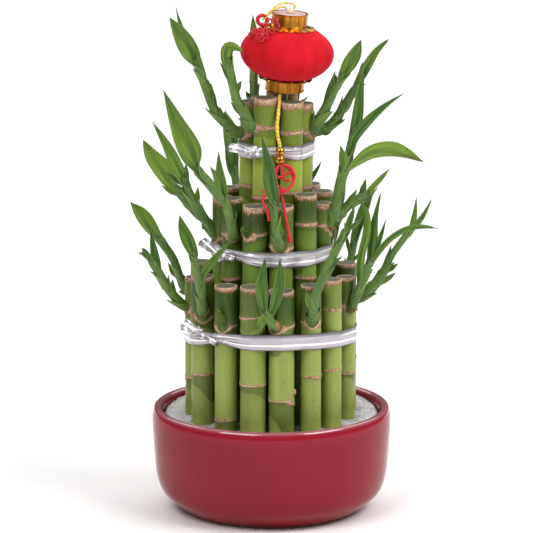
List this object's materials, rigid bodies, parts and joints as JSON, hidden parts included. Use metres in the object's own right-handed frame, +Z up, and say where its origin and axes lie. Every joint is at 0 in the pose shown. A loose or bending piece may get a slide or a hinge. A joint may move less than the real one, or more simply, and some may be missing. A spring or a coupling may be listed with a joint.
{
  "type": "lucky bamboo tower",
  "caption": "Tiered tower of leafy lucky bamboo canes in gravel in a round glazed bowl, tied with foil ribbons and topped by a small red lantern.",
  "frame": {"origin": "middle of the bowl's flat foot, on the surface it stands on", "axes": "+Z up along the canes, -Y towards the viewer, +X to the viewer's right"},
  "size_m": [0.1575, 0.1448, 0.2616],
  "materials": {
    "glaze": "glossy burgundy glaze with a brighter lip",
    "gravel": "fine white gravel",
    "cane_lower": "waxy yellow-green cane skin, tan joints and sawn tops, green leaves",
    "cane_middle": "waxy mid-green cane skin, tan joints and sawn tops, green leaves",
    "cane_upper": "waxy mid-green cane skin, tan joints and sawn tops, green leaves",
    "foil": "bright silver foil ribbon, creased lengthwise",
    "velvet": "red flocked velvet",
    "gilt": "gold metallised plastic",
    "cap_disc": "pale pinkish silver",
    "knob": "cream",
    "red_bead": "clear red",
    "gold_thread": "braided gold thread",
    "red_thread": "twisted red string"
  },
  "bodies": {
    "root": {"bowl": "glaze", "gravel": "gravel", "cane_lower_01": "cane_lower", "cane_lower_02": "cane_lower", "cane_lower_03": "cane_lower", "cane_lower_04": "cane_lower", "cane_lower_05": "cane_lower", "cane_lower_06": "cane_lower", "cane_lower_07": "cane_lower", "cane_lower_08": "cane_lower", "cane_lower_09": "cane_lower", "cane_lower_10": "cane_lower", "cane_lower_11": "cane_lower", "cane_lower_12": "cane_lower", "cane_lower_13": "cane_lower", "cane_lower_14": "cane_lower", "cane_lower_15": "cane_lower", "cane_lower_16": "cane_lower", "tie_lower": "foil", "cane_middle_01": "cane_middle", "cane_middle_02": "cane_middle", "cane_middle_03": "cane_middle", "cane_middle_04": "cane_middle", "cane_middle_05": "cane_middle", "cane_middle_06": "cane_middle", "cane_middle_07": "cane_middle", "cane_middle_08": "cane_middle", "cane_middle_09": "cane_middle", "cane_middle_10": "cane_middle", "cane_middle_11": "cane_middle", "cane_middle_12": "cane_middle", "tie_middle": "foil", "cane_upper_01": "cane_upper", "cane_upper_02": "cane_upper", "cane_upper_03": "cane_upper", "cane_upper_04": "cane_upper", "cane_upper_05": "cane_upper", "cane_upper_06": "cane_upper", "cane_upper_07": "cane_upper", "tie_upper": "foil", "lantern_body": "velvet", "lantern_cap_bottom": "gilt", "lantern_cap_top": "gilt", "lantern_cap_disc": "cap_disc", "lantern_knob": "knob", "lantern_trim_bottom": "gilt", "lantern_trim_top": "gilt", "bead_flower_1": "red_bead", "bead_flower_2": "red_bead", "bead_flower_3": "red_bead", "bead_ring": "red_bead", "bead_gourd": "gilt", "cord_loop": "gold_thread", "cord_drop": "gold_thread", "string_right": "red_thread", "string_left": "red_thread"}
  },
  "joints": []
}
